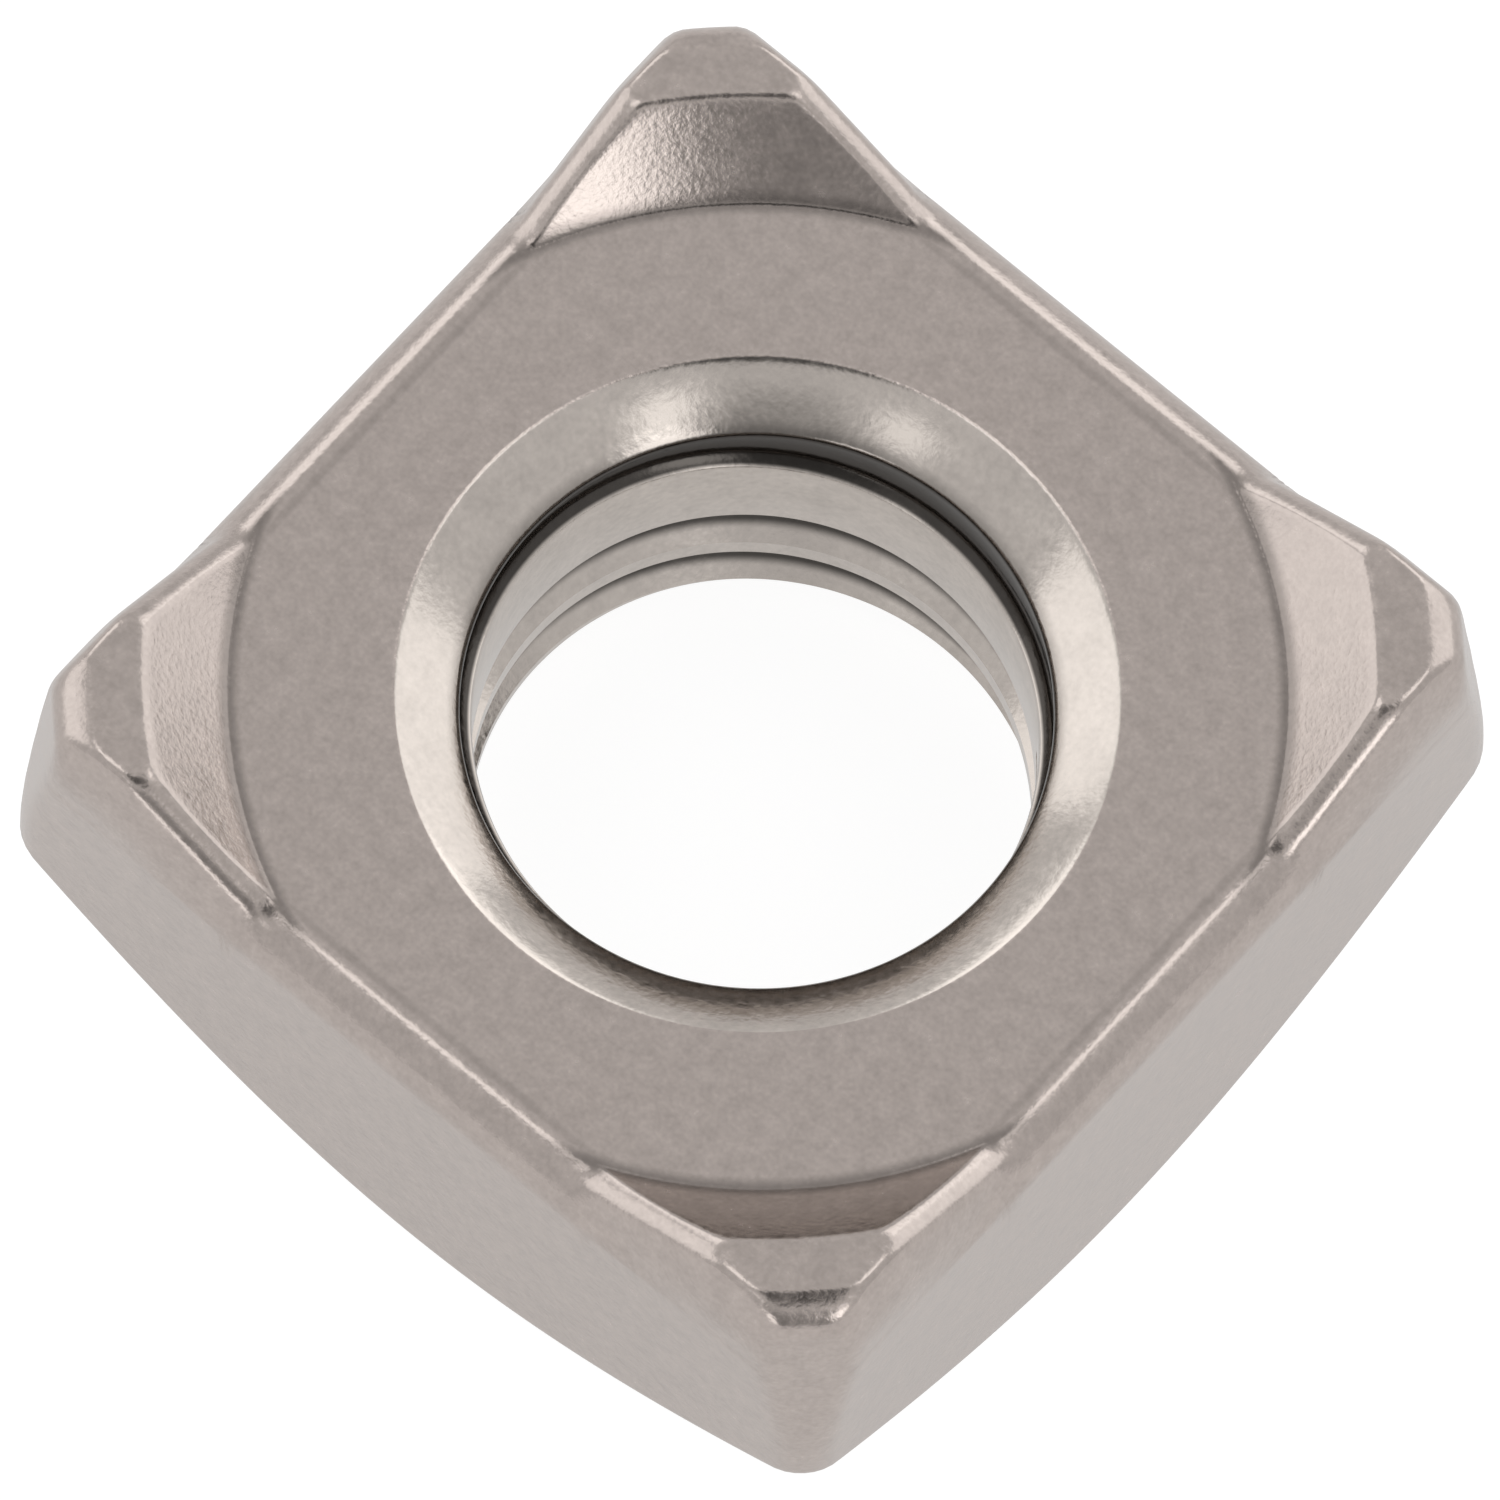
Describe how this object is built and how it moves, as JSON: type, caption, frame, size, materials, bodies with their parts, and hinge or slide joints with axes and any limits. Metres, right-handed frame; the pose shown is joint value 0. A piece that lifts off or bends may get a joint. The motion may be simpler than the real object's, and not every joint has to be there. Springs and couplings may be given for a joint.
{
  "type": "square weld nut",
  "caption": "Square weld nut with a raised weld lug at each corner round a flat seat, a countersunk tapped bore through the middle and a chamfered back face.",
  "frame": {"origin": "centre of the round back face, on the axis of the bore", "axes": "+Z along the bore, from the back face towards the weld lugs; X and Y square to the flats"},
  "size_m": [0.019, 0.019, 0.0095],
  "materials": {
    "steel": "satin, cold-formed and bare"
  },
  "bodies": {
    "root": {"square_weld_nut": "steel"}
  },
  "joints": []
}
